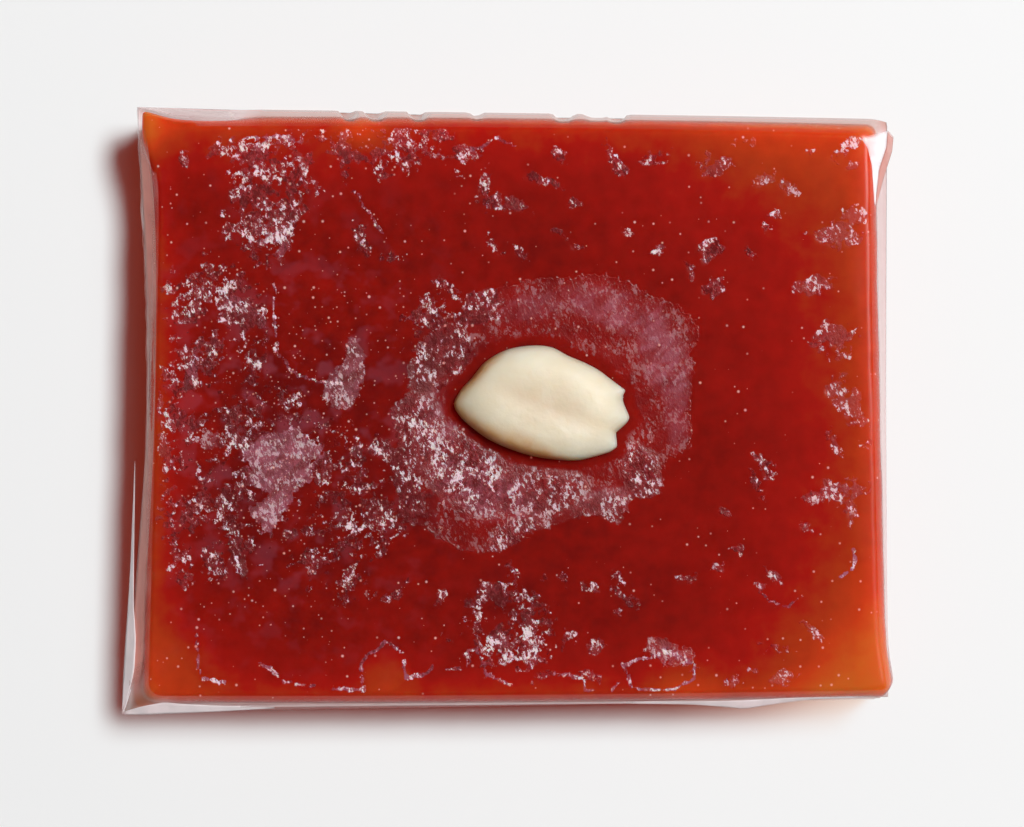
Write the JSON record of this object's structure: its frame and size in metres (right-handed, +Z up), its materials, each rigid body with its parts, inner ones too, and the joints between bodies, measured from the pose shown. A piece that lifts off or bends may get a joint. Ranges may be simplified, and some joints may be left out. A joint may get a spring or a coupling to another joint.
{
  "type": "wrapped quince paste",
  "caption": "Flat rectangular slab of quince paste with a blanched almond pressed into its top, overwrapped in clear film with tucked ends.",
  "frame": {"origin": "middle of the pack's bounding box in plan, on the surface that it lies on", "axes": "+X along the slab, towards the almond's broken end; +Y to the slab's back; +Z up, out of the face with the almond"},
  "size_m": [0.0917, 0.0729, 0.0162],
  "materials": {
    "paste": "translucent dark red fruit jelly, moist and glossy, orange where it is thin",
    "almond": "blanched almond, cream, satin",
    "film": "clear glossy cellulose film"
  },
  "bodies": {
    "root": {"quince_paste": "paste", "almond": "almond", "wrapper": "film"}
  },
  "joints": []
}
